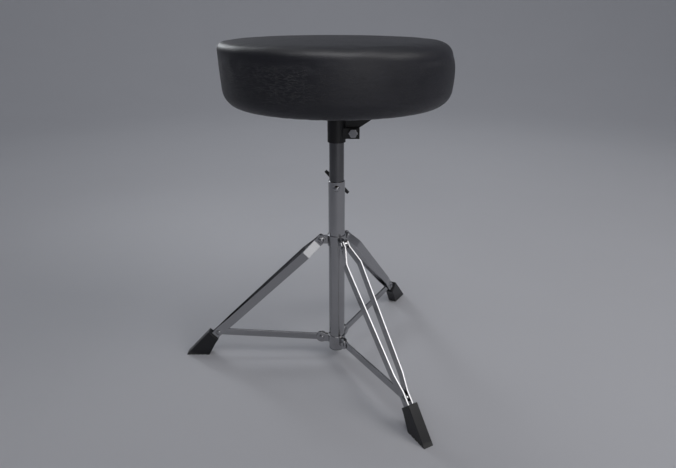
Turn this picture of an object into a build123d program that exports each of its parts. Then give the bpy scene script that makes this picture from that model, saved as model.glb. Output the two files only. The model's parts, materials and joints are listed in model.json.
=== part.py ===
from build123d import *
import os
from math import asin, atan2, cos, degrees, hypot, radians, sin

# Round drum throne: a padded seat on a sliding post, and a three-legged base
# that folds. Millimetres. The origin is on the column's axis at floor level,
# +Z is up, and one leg points along -X.

# ------------------------------------------------------------ driving sizes
# Seat cushion
SEAT_DIAMETER = 330.0
SEAT_TOP = 512.0            # height of the crown above the floor
SEAT_DEPTH = 88.0           # crown to the cover's underside
SEAT_CROWN = 3.0            # how far the middle stands above the rim
SEAT_WAIST = 3.0            # how far the side leans in at the bottom
SEAT_RIM_LEAN = 1.0         # and at the rim
SEAT_WIDEST = 0.62          # where the side is widest, as a share of the depth
SEAT_RIM_ROUND = 14.0
SEAT_HEM_ROUND = 24.0
COVER_T = 1.4
HEM_WIDTH = 26.0            # cover folded in under the board
BOARD_T = 12.0
STAPLE_COUNT = 30
STAPLE_SIZE = (10.0, 1.2, 0.7)
STAPLE_IN = 7.0             # from the cover's cut edge out to the staples

# Seat bracket and its clamp
PLATE_SIDE = 140.0
PLATE_T = 5.0
PLATE_ROUND = 14.0
SCREW_SPACING = 100.0
SOCKET_WALL = 2.2
SOCKET_DEPTH = 53.0         # below the plate
EAR_REACH = 33.5            # from the column's axis
EAR_HEIGHT = 15.5
EAR_DROP = 6.0              # from the socket's mouth up to the ear
EAR_HALF_DEPTH = 9.5
SPLIT_GAP = 2.4
RIB_T = 7.0
RIB_KNEE = (13.0, 8.5)      # out and up from the ear's upper corner
RIB_REACH = 78.0
SIDE_RIB_REACH = 55.0
SIDE_RIB_HEIGHT = 18.0
CLAMP_BOLT_R = 3.5
CLAMP_BOLT_X = 24.0
CLAMP_HEX = 12.5            # across flats
CLAMP_BOLT_RISE = 0.58      # as a share of the ear's height
CLAMP_HEAD_T = 5.0
CLAMP_HEAD_CHAMFER = 0.8
CLAMP_BOLT_TAIL = 9.0       # beyond the ear
CLAMP_NUT_T = 6.0
SCREW_R = 3.0
SCREW_HEAD_R = 5.6
SCREW_HEAD_T = 3.6
SCREW_HEAD_ROUND = 0.55     # as a share of the head
SCREW_CROSS_DEPTH = 0.6     # as a share of the head
TEE_BARREL_R = 4.0
TEE_BARREL_DEPTH = 0.75     # as a share of the board
TEE_FLANGE_R = 9.0
TEE_FLANGE_T = 1.2

# Column
POST_OD = 22.2
POST_WALL = 1.5
POST_BOTTOM = 172.0
HEIGHT_TRAVEL = 100.0
TUBE_WALL = 1.5
TUBE_TOP = 308.0
TUBE_BOTTOM = 13.7
PLUG_FLANGE_T = 1.5
PLUG_DEPTH = 16.0
PLUG_HOLLOW_R = 0.55        # as a share of the plug's radius
PLUG_HOLLOW_DEPTH = 0.7     # as a share of its depth
PLUG_CHAMFER = 0.5
TUBE_CHAMFER = 0.4
HEIGHT_BOLT_DROP = 9.5      # from the tube's top to the bolt
HEIGHT_BOLT_R = 3.0
HEIGHT_HEAD_R = 5.0
HEIGHT_HEAD_T = 3.4
HEIGHT_HEAD_SKIRT = 1.2     # runs down round the tube
HEIGHT_BOLT_GRIP = 0.85     # bolt inside the handle's hub, as a share of it
SADDLE_R = 6.5
SADDLE_T = 1.6
HANDLE_HUB_R = 6.5
HANDLE_HUB_LENGTH = 14.0
HANDLE_SPAN = 50.0
HANDLE_ROD_R = 3.6
HANDLE_TIP_R = 2.5
HANDLE_TIP_LENGTH = 2.0
HANDLE_TILT = 45.0
HANDLE_TAPER = 3.0
HANDLE_HUB_ROUND = 1.5
HANDLE_COVER = 0.6          # hub beyond the rod
HANDLE_BORE = 0.9           # as a share of the hub's length

# Collars
COLLAR_WALL = 1.65
UPPER_COLLAR_Z = 203.0
UPPER_COLLAR_H = 17.5
LOWER_COLLAR_Z = 26.0
LOWER_COLLAR_H = 14.2
LUG_END_R = 6.6
LUG_H = 13.2
EAR_END_R = 9.2             # lower collar's rounded ears
EAR_T = 1.8
COLLAR_RIVET_R = 1.6
COLLAR_RIVET_HEAD_T = 1.4
COLLAR_RIVET_ROUND = 1.0
COLLAR_RIVET_SHORT = 0.2    # clear of the tube's bore
RIVET_AZIMUTH = 120.0       # between two legs, behind the column

# Legs and braces
LEG_AZIMUTHS = (180.0, -60.0, 60.0)
LEG_ANGLE = 45.9            # from the column, opened out
TOP_PIVOT_OUT = 12.1        # from the tube's wall to the leg's pivot
LOW_PIVOT_OUT = 12.8        # from the tube's wall to the brace's pivot
LOW_PIVOT_UP = 8.2          # above the lower collar's bottom
LEG_TO_BRACE = 243.0        # top pivot to the brace's pivot, along the leg
STRIP_W = 13.5
STRIP_T = 2.0
STRIP_NOSE = 6.4            # strip beyond the top pivot
STRIP_CORNER = 4.0
STRIP_BEND_R = 8.0
GAP_TOP = 2.9               # column of half gaps between a leg's two strips
GAP_SPREAD = 11.5
GAP_LOW = 6.3
GAP_FOOT = 2.6
SPREAD_FROM = 7.5           # along the leg, where each half gap is reached
SPREAD_TO = 34.0
LOW_BEND_BEFORE = 34.0      # strips start to close in, above the brace's pivot
LOW_BEND_SHORT = 9.0        # and have closed in
PIVOT_R = 2.5
WASHER_T = 0.6
WASHER_R = 5.6
DOME_R = 5.0
DOME_T = 3.0
NUT_T = 3.0
NUT_CAP_T = 3.2             # domed cap, from half way up the hexagon
NUT_GRIP = 2.4              # bolt inside its nut
DOME_RIM = 0.25             # straight part of a domed head, as a share of its height
NUT_HEX = 8.6               # across flats
NUT_CAP_R = 0.46            # as a share of the width across flats
BRACE_W = 11.5
BRACE_T = 3.0
RIVET_HEAD_R = 4.3
RIVET_HEAD_T = 2.2
BOSS_R = 4.4

# Rubber feet
FOOT_HALF_W = 7.7
FOOT_START = 253.4          # along the leg
FOOT_IN = 8.9               # either side of the leg's line at the foot's mouth
FOOT_OUT = 12.4
FOOT_KNEE = (260.5, 10.0)   # along the leg, and in from its line
FOOT_HEEL = 25.9            # along the floor, from where the leg's line meets it
FOOT_TOE = 13.0
FOOT_EDGE = 1.2
FOOT_CORNER = 1.56
STRIP_IN_FOOT = 28.0
GROOVE_COUNT = 4
GROOVE_W = 2.0
GROOVE_DEPTH = 1.2
RELIEF_DEPTH = 20.5         # room in the boot for the folding brace's end
RELIEF_IN = 3.6

# Clearances
SLIDE_GAP = 0.08            # radial, between parts that slide or turn
PIN_GAP = 0.06              # radial, pins in their holes
FACE_GAP = 0.05             # between flat faces that turn on each other
SLOT_GAP = 0.3              # round the height bolt in the post's slot
BRACE_GAP = 0.3             # between the brace and what it swings beside
END_GAP = 0.3               # post's top to the bracket's plate

# ------------------------------------------------------------ derived sizes
SEAT_R = SEAT_DIAMETER / 2
SEAT_BOTTOM = SEAT_TOP - SEAT_DEPTH
BOARD_R = SEAT_R - SEAT_WAIST - SEAT_HEM_ROUND
COVER_OPENING_R = BOARD_R - HEM_WIDTH
BOARD_BOTTOM = SEAT_BOTTOM + COVER_T
BOARD_TOP = BOARD_BOTTOM + BOARD_T
PLATE_BOTTOM = BOARD_BOTTOM - PLATE_T

POST_R = POST_OD / 2
POST_TOP = PLATE_BOTTOM - END_GAP
TUBE_ID_R = POST_R + SLIDE_GAP
TUBE_R = TUBE_ID_R + TUBE_WALL
HEIGHT_BOLT_Z = TUBE_TOP - HEIGHT_BOLT_DROP

SOCKET_ID_R = POST_R + SLIDE_GAP
SOCKET_R = SOCKET_ID_R + SOCKET_WALL
SOCKET_Z = PLATE_BOTTOM - SOCKET_DEPTH
EAR_Z = SOCKET_Z + EAR_DROP
CLAMP_BOLT_Z = EAR_Z + EAR_HEIGHT * CLAMP_BOLT_RISE

COLLAR_R = TUBE_R + COLLAR_WALL
TOP_PIVOT = (TUBE_R + TOP_PIVOT_OUT, UPPER_COLLAR_Z + UPPER_COLLAR_H / 2)
LOW_PIVOT = (TUBE_R + LOW_PIVOT_OUT, LOWER_COLLAR_Z + LOW_PIVOT_UP)
LEAN = radians(LEG_ANGLE)
KNEE_PIVOT = (
    TOP_PIVOT[0] + LEG_TO_BRACE * sin(LEAN),
    TOP_PIVOT[1] - LEG_TO_BRACE * cos(LEAN),
)
BRACE_RUN = KNEE_PIVOT[0] - LOW_PIVOT[0]
BRACE_RISE = KNEE_PIVOT[1] - LOW_PIVOT[1]
BRACE_LENGTH = hypot(BRACE_RUN, BRACE_RISE)
LUG_T = 2 * (GAP_TOP - WASHER_T - FACE_GAP)
EAR_GAP = BRACE_T / 2 + FACE_GAP
STRIP_END = FOOT_START + STRIP_IN_FOOT
LOW_BEND = LEG_TO_BRACE - LOW_BEND_BEFORE
LOW_BEND_TO = LEG_TO_BRACE - LOW_BEND_SHORT

# Folding: the leg swings in until the brace hangs straight down.
LEG_LEAN_FOLDED = asin((LOW_PIVOT[0] - TOP_PIVOT[0]) / LEG_TO_BRACE)
LEG_FOLD = LEAN - LEG_LEAN_FOLDED
BRACE_FOLD = radians(90.0) + atan2(BRACE_RISE, BRACE_RUN)
COLLAR_RISE = (
    TOP_PIVOT[1] - LEG_TO_BRACE * cos(LEG_LEAN_FOLDED) + BRACE_LENGTH - LOW_PIVOT[1]
)


# ------------------------------------------------------------------- planes
def outward(azimuth):
    """Horizontal direction from the column towards a leg."""
    return Vector(cos(radians(azimuth)), sin(radians(azimuth)), 0)


def sideways(azimuth):
    """Horizontal direction square to a leg: every pivot's axis."""
    return Vector(-sin(radians(azimuth)), cos(radians(azimuth)), 0)


def down_leg(azimuth):
    """Direction along an opened leg, from its pivot to its foot."""
    return outward(azimuth) * sin(LEAN) - Vector(0, 0, cos(LEAN))


def place(azimuth, radius_height):
    """Point in a leg's own upright plane."""
    return outward(azimuth) * radius_height[0] + Vector(0, 0, radius_height[1])


def upright(azimuth):
    """Sketch plane holding the column and a leg: x outward, y up."""
    return Plane(origin=(0, 0, 0), x_dir=outward(azimuth), z_dir=-sideways(azimuth))


def beside_leg(azimuth):
    """Sketch plane holding a leg's line: x along the leg, y out of its upper side."""
    return Plane(
        origin=place(azimuth, TOP_PIVOT),
        x_dir=down_leg(azimuth),
        z_dir=-sideways(azimuth),
    )


def across_leg(azimuth):
    """Sketch plane lying in a leg's slope: x along the leg, y sideways."""
    plane = beside_leg(azimuth)
    return Plane(origin=plane.origin, x_dir=plane.x_dir, z_dir=plane.y_dir)


def pin_face(azimuth, radius_height):
    """Sketch plane square to a pivot's axis."""
    return Plane(
        origin=place(azimuth, radius_height),
        x_dir=outward(azimuth),
        z_dir=sideways(azimuth),
    )


def pin_section(azimuth, radius_height):
    """Sketch plane through a pivot's axis: x is the radius, y is along the axis."""
    return Plane(
        origin=place(azimuth, radius_height),
        x_dir=outward(azimuth),
        z_dir=(0, 0, 1),
    )


def pin_axis(azimuth, radius_height):
    """A pivot's axis."""
    return Axis(place(azimuth, radius_height), sideways(azimuth))


def finish(piece, name):
    """Label a finished piece and write it to its own file."""
    piece.part.label = name
    export_step(piece.part, "parts/" + name + ".step")


def dome(radius, start, height):
    """Half outline of a head with a spherical cap, starting at start along its axis."""
    rim = start + DOME_RIM * height
    cap = (1 - DOME_RIM) * height
    ball_r = (radius ** 2 + cap ** 2) / (2 * cap)
    half_turn = asin(radius / abs(ball_r)) / 2
    crest = (abs(ball_r) * sin(half_turn), start + height - ball_r * (1 - cos(half_turn)))
    Polyline((0, start), (radius, start), (radius, rim))
    ThreePointArc((radius, rim), crest, (0, start + height))
    Line((0, start + height), (0, start))


# --------------------------------------------------------------------- seat
def cushion_section(inset):
    """Half section of the rounded seat, set in by a covering's thickness."""
    with BuildSketch(Plane.XZ) as outline:
        with BuildLine():
            Polyline(
                (0, SEAT_BOTTOM + inset),
                (SEAT_R - SEAT_WAIST - inset, SEAT_BOTTOM + inset),
                (SEAT_R - inset, SEAT_BOTTOM + SEAT_WIDEST * SEAT_DEPTH),
                (SEAT_R - SEAT_RIM_LEAN - inset, SEAT_TOP - SEAT_CROWN - inset),
                (0, SEAT_TOP - inset),
                close=True,
            )
        make_face()
        hem = outline.vertices().group_by(Axis.Y)[0].sort_by(Axis.X)[-1]
        fillet(hem, SEAT_HEM_ROUND - inset)
        rim = outline.vertices().group_by(Axis.Y)[-2].sort_by(Axis.X)[-1]
        fillet(rim, SEAT_RIM_ROUND - inset)
    return outline.sketch


def make_seat_cover():
    """Vinyl cover: top, side and the hem stapled under the board."""
    with BuildPart() as cover:
        revolve(cushion_section(0), axis=Axis.Z)
        revolve(cushion_section(COVER_T), axis=Axis.Z, mode=Mode.SUBTRACT)
        with BuildSketch(Plane.XY.offset(SEAT_BOTTOM)):
            Circle(COVER_OPENING_R)
        extrude(amount=COVER_T, mode=Mode.SUBTRACT)
    return cover


def make_seat_board():
    """Round plywood board with sunk seats for the tee nuts."""
    with BuildPart() as board:
        with BuildSketch(Plane.XY.offset(BOARD_BOTTOM)):
            Circle(BOARD_R)
        extrude(amount=BOARD_T)
        with BuildSketch(Plane.XY.offset(BOARD_BOTTOM)):
            with GridLocations(SCREW_SPACING, SCREW_SPACING, 2, 2):
                Circle(TEE_BARREL_R)
        extrude(amount=BOARD_T, mode=Mode.SUBTRACT)
        with BuildSketch(Plane.XY.offset(BOARD_TOP - TEE_FLANGE_T)):
            with GridLocations(SCREW_SPACING, SCREW_SPACING, 2, 2):
                Circle(TEE_FLANGE_R)
        extrude(amount=TEE_FLANGE_T, mode=Mode.SUBTRACT)
    return board


def make_seat_foam():
    """Foam over and round the board, filling the cover."""
    with BuildPart() as foam:
        revolve(cushion_section(COVER_T), axis=Axis.Z)
        with BuildSketch(Plane.XY.offset(BOARD_BOTTOM)):
            Circle(BOARD_R)
        extrude(amount=BOARD_T, mode=Mode.SUBTRACT)
    return foam


def make_tee_nuts():
    """Flanged nuts pressed into the board from above."""
    barrel = BOARD_T * TEE_BARREL_DEPTH
    with BuildPart() as nuts:
        with BuildSketch(Plane.XY.offset(BOARD_TOP - TEE_FLANGE_T)):
            with GridLocations(SCREW_SPACING, SCREW_SPACING, 2, 2):
                Circle(TEE_FLANGE_R)
        extrude(amount=TEE_FLANGE_T)
        with BuildSketch(Plane.XY.offset(BOARD_TOP - barrel)):
            with GridLocations(SCREW_SPACING, SCREW_SPACING, 2, 2):
                Circle(TEE_BARREL_R)
        extrude(amount=barrel)
        with BuildSketch(Plane.XY.offset(BOARD_BOTTOM)):
            with GridLocations(SCREW_SPACING, SCREW_SPACING, 2, 2):
                Circle(SCREW_R)
        extrude(amount=BOARD_T, mode=Mode.SUBTRACT)
    return nuts


def make_bracket_screws():
    """Screws up through the bracket's plate into the tee nuts."""
    shank = PLATE_T + BOARD_T
    with BuildPart() as screws:
        with BuildSketch(Plane.XY.offset(PLATE_BOTTOM)):
            with GridLocations(SCREW_SPACING, SCREW_SPACING, 2, 2):
                Circle(SCREW_R)
        extrude(amount=shank)
        with BuildSketch(Plane.XY.offset(PLATE_BOTTOM - SCREW_HEAD_T)):
            with GridLocations(SCREW_SPACING, SCREW_SPACING, 2, 2):
                Circle(SCREW_HEAD_R)
        extrude(amount=SCREW_HEAD_T)
        fillet(screws.edges().group_by(Axis.Z)[0], SCREW_HEAD_T * SCREW_HEAD_ROUND)
        with BuildSketch(Plane.XY.offset(PLATE_BOTTOM - SCREW_HEAD_T)):
            with GridLocations(SCREW_SPACING, SCREW_SPACING, 2, 2):
                Rectangle(SCREW_R, SCREW_R / 4)
                Rectangle(SCREW_R / 4, SCREW_R)
        extrude(amount=SCREW_HEAD_T * SCREW_CROSS_DEPTH, mode=Mode.SUBTRACT)
    return screws


def make_staples():
    """Ring of staple crowns on the cover's hem."""
    length, width, thick = STAPLE_SIZE
    ring_r = COVER_OPENING_R + STAPLE_IN
    with BuildPart() as staples:
        with BuildSketch(Plane.XY.offset(SEAT_BOTTOM - thick)):
            with PolarLocations(ring_r, STAPLE_COUNT):
                Rectangle(width, length)
        extrude(amount=thick)
    return staples


# ------------------------------------------------------------- seat bracket
def rib_section():
    """Rib from the clamp ear out to the plate."""
    ear_top = EAR_Z + EAR_HEIGHT
    with BuildSketch(Plane.XZ) as section:
        with BuildLine():
            Polyline(
                (0, ear_top),
                (EAR_REACH, ear_top),
                (EAR_REACH + RIB_KNEE[0], ear_top + RIB_KNEE[1]),
                (RIB_REACH, PLATE_BOTTOM),
                (0, PLATE_BOTTOM),
                close=True,
            )
        make_face()
    return section.sketch


def side_rib_section(turn):
    """Low rib under the plate, turned about the socket."""
    with BuildSketch(Plane.XZ.rotated((0, 0, turn))) as section:
        with BuildLine():
            Polyline(
                (0, PLATE_BOTTOM),
                (SIDE_RIB_REACH, PLATE_BOTTOM),
                (SOCKET_R, PLATE_BOTTOM - SIDE_RIB_HEIGHT),
                (0, PLATE_BOTTOM - SIDE_RIB_HEIGHT),
                close=True,
            )
        make_face()
    return section.sketch


def make_seat_bracket():
    """Cast bracket: plate, post socket, clamp ear and ribs."""
    split_height = EAR_DROP + EAR_HEIGHT + SPLIT_GAP
    with BuildPart() as bracket:
        with BuildSketch(Plane.XY.offset(PLATE_BOTTOM)):
            RectangleRounded(PLATE_SIDE, PLATE_SIDE, PLATE_ROUND)
            with GridLocations(SCREW_SPACING, SCREW_SPACING, 2, 2):
                Circle(SCREW_R, mode=Mode.SUBTRACT)
        extrude(amount=PLATE_T)
        with BuildSketch(Plane.XY.offset(SOCKET_Z)):
            Circle(SOCKET_R)
        extrude(amount=SOCKET_DEPTH)
        with BuildSketch(Plane.XZ):
            with Locations((0, EAR_Z)):
                Rectangle(EAR_REACH, EAR_HEIGHT, align=(Align.MIN, Align.MIN))
        extrude(amount=EAR_HALF_DEPTH, both=True)
        extrude(rib_section(), amount=RIB_T / 2, both=True)
        for turn in (90, 180, 270):
            extrude(side_rib_section(turn), amount=RIB_T / 2, both=True)
        with BuildSketch(Plane.XZ):
            with Locations((0, SOCKET_Z)):
                Rectangle(EAR_REACH + 1, split_height, align=(Align.MIN, Align.MIN))
        extrude(amount=SPLIT_GAP / 2, both=True, mode=Mode.SUBTRACT)
        with BuildSketch(Plane.XZ):
            with Locations((CLAMP_BOLT_X, CLAMP_BOLT_Z)):
                Circle(CLAMP_BOLT_R)
        extrude(amount=2 * EAR_HALF_DEPTH, both=True, mode=Mode.SUBTRACT)
        with BuildSketch(Plane.XY.offset(SOCKET_Z)):
            Circle(SOCKET_ID_R)
        extrude(amount=SOCKET_DEPTH, mode=Mode.SUBTRACT)
    return bracket


def make_clamp_bolt():
    """Hexagon bolt across the bracket's split ear."""
    length = 2 * EAR_HALF_DEPTH + CLAMP_BOLT_TAIL
    centre = (CLAMP_BOLT_X, -EAR_HALF_DEPTH, CLAMP_BOLT_Z)
    front = Plane(origin=centre, x_dir=(1, 0, 0), z_dir=(0, -1, 0))
    with BuildPart() as bolt:
        with BuildSketch(front):
            RegularPolygon(CLAMP_HEX / 2, 6, major_radius=False, rotation=0)
        extrude(amount=CLAMP_HEAD_T)
        chamfer(bolt.edges().group_by(Axis.Y)[0], CLAMP_HEAD_CHAMFER)
        with BuildSketch(front):
            Circle(CLAMP_BOLT_R)
        extrude(amount=-length)
    return bolt


def make_clamp_nut():
    """Hexagon nut behind the bracket's split ear."""
    back = Plane(
        origin=(CLAMP_BOLT_X, EAR_HALF_DEPTH, CLAMP_BOLT_Z),
        x_dir=(1, 0, 0),
        z_dir=(0, 1, 0),
    )
    with BuildPart() as nut:
        with BuildSketch(back):
            RegularPolygon(CLAMP_HEX / 2, 6, major_radius=False, rotation=0)
            Circle(CLAMP_BOLT_R, mode=Mode.SUBTRACT)
        extrude(amount=CLAMP_NUT_T)
    return nut


# ------------------------------------------------------------------- column
def make_seat_post():
    """Post tube, slotted through for the height bolt."""
    with BuildPart() as post:
        with BuildSketch(Plane.XY.offset(POST_BOTTOM)):
            Circle(POST_R)
            Circle(POST_R - POST_WALL, mode=Mode.SUBTRACT)
        extrude(amount=POST_TOP - POST_BOTTOM)
        slot_centre = (0, HEIGHT_BOLT_Z - HEIGHT_TRAVEL / 2)
        with BuildSketch(Plane.XZ):
            with Locations(slot_centre):
                SlotCenterToCenter(
                    HEIGHT_TRAVEL,
                    2 * (HEIGHT_BOLT_R + SLOT_GAP),
                    rotation=90,
                )
        extrude(amount=POST_R + 1, both=True, mode=Mode.SUBTRACT)
    return post


def make_tube_plug(bottom, outside_r, inside_r):
    """Push-in plug with a flange, standing at the bottom of a tube."""
    with BuildPart() as plug:
        with BuildSketch(Plane.XY.offset(bottom)):
            Circle(outside_r)
        extrude(amount=PLUG_FLANGE_T)
        with BuildSketch(Plane.XY.offset(bottom + PLUG_FLANGE_T)):
            Circle(inside_r)
        extrude(amount=PLUG_DEPTH)
        with BuildSketch(Plane.XY.offset(bottom)):
            Circle(inside_r * PLUG_HOLLOW_R)
        extrude(amount=PLUG_DEPTH * PLUG_HOLLOW_DEPTH, mode=Mode.SUBTRACT)
        rim = plug.edges().group_by(Axis.Z)[0].sort_by(SortBy.LENGTH)[-1]
        chamfer(rim, PLUG_CHAMFER)
    return plug


def make_base_tube():
    """Column tube, drilled across for the height bolt."""
    with BuildPart() as tube:
        with BuildSketch(Plane.XY.offset(TUBE_BOTTOM + PLUG_FLANGE_T)):
            Circle(TUBE_R)
            Circle(TUBE_ID_R, mode=Mode.SUBTRACT)
        extrude(amount=TUBE_TOP - TUBE_BOTTOM - PLUG_FLANGE_T)
        rim = tube.edges().group_by(Axis.Z)[-1].sort_by(SortBy.LENGTH)[-1]
        chamfer(rim, TUBE_CHAMFER)
        with BuildSketch(Plane.XZ):
            with Locations((0, HEIGHT_BOLT_Z)):
                Circle(HEIGHT_BOLT_R)
        extrude(amount=TUBE_R + 1, both=True, mode=Mode.SUBTRACT)
        with BuildSketch(rivet_face()):
            Circle(COLLAR_RIVET_R)
        extrude(amount=TUBE_R + 1, mode=Mode.SUBTRACT)
    return tube


def rivet_face():
    """Plane through the column's axis, facing the upper collar's rivet."""
    return Plane(
        origin=(0, 0, TOP_PIVOT[1]),
        x_dir=sideways(RIVET_AZIMUTH),
        z_dir=outward(RIVET_AZIMUTH),
    )


def make_height_bolt():
    """Domed bolt through the tube and the post's slot."""
    head_start = TUBE_R - HEIGHT_HEAD_SKIRT
    handle_mouth = TUBE_R + SADDLE_T + FACE_GAP
    tip = handle_mouth + HANDLE_HUB_LENGTH * HEIGHT_BOLT_GRIP
    section = Plane(
        origin=(0, 0, HEIGHT_BOLT_Z),
        x_dir=(1, 0, 0),
        z_dir=(0, 0, -1),
    )
    with BuildPart() as bolt:
        with BuildSketch(section):
            with BuildLine():
                dome(HEIGHT_HEAD_R, head_start, HEIGHT_HEAD_T + HEIGHT_HEAD_SKIRT)
            make_face()
        revolve(axis=Axis((0, 0, HEIGHT_BOLT_Z), (0, 1, 0)))
        with BuildSketch(Plane.XY.offset(HEIGHT_BOLT_Z - HEIGHT_HEAD_R - 1)):
            Circle(TUBE_R)
        extrude(amount=2 * HEIGHT_HEAD_R + 2, mode=Mode.SUBTRACT)
        front = Plane(
            origin=(0, -head_start - HEIGHT_HEAD_T / 2, HEIGHT_BOLT_Z),
            x_dir=(1, 0, 0),
            z_dir=(0, 1, 0),
        )
        with BuildSketch(front):
            Circle(HEIGHT_BOLT_R)
        extrude(amount=head_start + HEIGHT_HEAD_T / 2 + tip)
    return bolt


def make_saddle_washer():
    """Washer with a hollow face that sits on the tube behind the bolt."""
    with BuildPart() as washer:
        with BuildSketch(Plane(origin=(0, 0, HEIGHT_BOLT_Z), x_dir=(1, 0, 0), z_dir=(0, 1, 0))):
            Circle(SADDLE_R)
            Circle(HEIGHT_BOLT_R, mode=Mode.SUBTRACT)
        extrude(amount=TUBE_R + SADDLE_T)
        with BuildSketch(Plane.XY.offset(HEIGHT_BOLT_Z - SADDLE_R - 1)):
            Circle(TUBE_R)
        extrude(amount=2 * SADDLE_R + 2, mode=Mode.SUBTRACT)
    return washer


def make_lock_handle():
    """Tee handle that turns on the height bolt behind the column."""
    mouth = TUBE_R + SADDLE_T + FACE_GAP
    hub_face = Plane(origin=(0, mouth, HEIGHT_BOLT_Z), x_dir=(1, 0, 0), z_dir=(0, 1, 0))
    tilt = radians(HANDLE_TILT)
    rod_dir = Vector(-cos(tilt), 0, sin(tilt))
    rod_y = mouth + HANDLE_HUB_LENGTH - HANDLE_ROD_R - HANDLE_COVER
    rod_centre = Vector(0, rod_y, HEIGHT_BOLT_Z)
    rod_section = Plane(origin=rod_centre, x_dir=(0, 1, 0), z_dir=rod_dir.cross(Vector(0, 1, 0)))
    half = HANDLE_SPAN / 2
    with BuildPart() as handle:
        with BuildSketch(hub_face):
            Circle(HANDLE_HUB_R)
        extrude(amount=HANDLE_HUB_LENGTH, taper=HANDLE_TAPER)
        fillet(handle.edges().group_by(Axis.Y)[-1], HANDLE_HUB_ROUND)
        with BuildSketch(rod_section):
            with BuildLine():
                Polyline(
                    (0, -half),
                    (HANDLE_TIP_R, -half),
                    (HANDLE_TIP_R, -half + HANDLE_TIP_LENGTH),
                    (HANDLE_ROD_R, -HANDLE_HUB_R),
                    (HANDLE_ROD_R, HANDLE_HUB_R),
                    (HANDLE_TIP_R, half - HANDLE_TIP_LENGTH),
                    (HANDLE_TIP_R, half),
                    (0, half),
                    close=True,
                )
            make_face()
        revolve(axis=Axis(rod_centre, rod_section.y_dir))
        with BuildSketch(hub_face):
            Circle(HEIGHT_BOLT_R + PIN_GAP)
        extrude(amount=HANDLE_HUB_LENGTH * HANDLE_BORE, mode=Mode.SUBTRACT)
    return handle


# ------------------------------------------------------------------ collars
def make_upper_collar():
    """Fixed collar with a lug for each leg."""
    with BuildPart() as collar:
        with BuildSketch(Plane.XY.offset(UPPER_COLLAR_Z)):
            Circle(COLLAR_R)
        extrude(amount=UPPER_COLLAR_H)
        for azimuth in LEG_AZIMUTHS:
            with BuildSketch(upright(azimuth)):
                with Locations((0, TOP_PIVOT[1])):
                    Rectangle(TOP_PIVOT[0], LUG_H, align=(Align.MIN, Align.CENTER))
                with Locations(TOP_PIVOT):
                    Circle(LUG_END_R)
            extrude(amount=LUG_T / 2, both=True)
            with BuildSketch(pin_face(azimuth, TOP_PIVOT)):
                Circle(PIVOT_R + PIN_GAP)
            extrude(amount=LUG_T, both=True, mode=Mode.SUBTRACT)
        with BuildSketch(Plane.XY.offset(UPPER_COLLAR_Z - 1)):
            Circle(TUBE_R)
        extrude(amount=UPPER_COLLAR_H + 2, mode=Mode.SUBTRACT)
        with BuildSketch(rivet_face()):
            Circle(COLLAR_RIVET_R)
        extrude(amount=COLLAR_R + 1, mode=Mode.SUBTRACT)
    return collar


def make_collar_rivet():
    """Rivet that holds the upper collar on the tube."""
    with BuildPart() as rivet:
        with BuildSketch(rivet_face().offset(TUBE_ID_R + COLLAR_RIVET_SHORT)):
            Circle(COLLAR_RIVET_R)
        extrude(amount=COLLAR_R - TUBE_ID_R)
        with BuildSketch(rivet_face().offset(COLLAR_R)):
            Circle(2 * COLLAR_RIVET_R)
        extrude(amount=COLLAR_RIVET_HEAD_T)
        line = Axis((0, 0, TOP_PIVOT[1]), outward(RIVET_AZIMUTH))
        fillet(rivet.edges().sort_by(line)[-1], COLLAR_RIVET_ROUND)
    return rivet


def make_lower_collar():
    """Sliding collar with a pair of ears for each brace."""
    ear_centre = (LOW_PIVOT[0], LOW_PIVOT[1])
    with BuildPart() as collar:
        with BuildSketch(Plane.XY.offset(LOWER_COLLAR_Z)):
            Circle(COLLAR_R)
        extrude(amount=LOWER_COLLAR_H)
        for azimuth in LEG_AZIMUTHS:
            with BuildSketch(upright(azimuth)):
                with Locations((0, LOWER_COLLAR_Z)):
                    Rectangle(LOW_PIVOT[0], LOWER_COLLAR_H, align=(Align.MIN, Align.MIN))
                with Locations(ear_centre):
                    Circle(EAR_END_R)
            extrude(amount=EAR_GAP + EAR_T, both=True)
        for azimuth in LEG_AZIMUTHS:
            with BuildSketch(upright(azimuth)):
                with Locations((COLLAR_R, LOW_PIVOT[1])):
                    Rectangle(LOW_PIVOT[0], 4 * EAR_END_R, align=(Align.MIN, Align.CENTER))
            extrude(amount=EAR_GAP, both=True, mode=Mode.SUBTRACT)
            with BuildSketch(pin_face(azimuth, LOW_PIVOT)):
                Circle(PIVOT_R + PIN_GAP)
            extrude(amount=EAR_GAP + 2 * EAR_T, both=True, mode=Mode.SUBTRACT)
        with BuildSketch(Plane.XY.offset(LOWER_COLLAR_Z - EAR_END_R)):
            Circle(TUBE_R + SLIDE_GAP)
        extrude(amount=LOWER_COLLAR_H + 4 * EAR_END_R, mode=Mode.SUBTRACT)
    return collar


# --------------------------------------------------------------------- legs
def strip_points():
    """Inner face of a leg's strip: distance along the leg and half gap."""
    return [
        (-STRIP_NOSE, GAP_TOP),
        (SPREAD_FROM, GAP_TOP),
        (SPREAD_TO, GAP_SPREAD),
        (LOW_BEND, GAP_LOW),
        (LOW_BEND_TO, GAP_FOOT),
        (STRIP_END, GAP_FOOT),
    ]


def strip_section(azimuth, side):
    """Flat outline of a bent strip on one side of the leg's line."""
    points = [(along, side * gap) for along, gap in strip_points()]
    outer = Side.LEFT if side > 0 else Side.RIGHT
    with BuildSketch(across_leg(azimuth)) as section:
        with BuildLine():
            FilletPolyline(*points, radius=STRIP_BEND_R)
            offset(amount=STRIP_T, side=outer)
        make_face()
    return section.sketch


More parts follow.
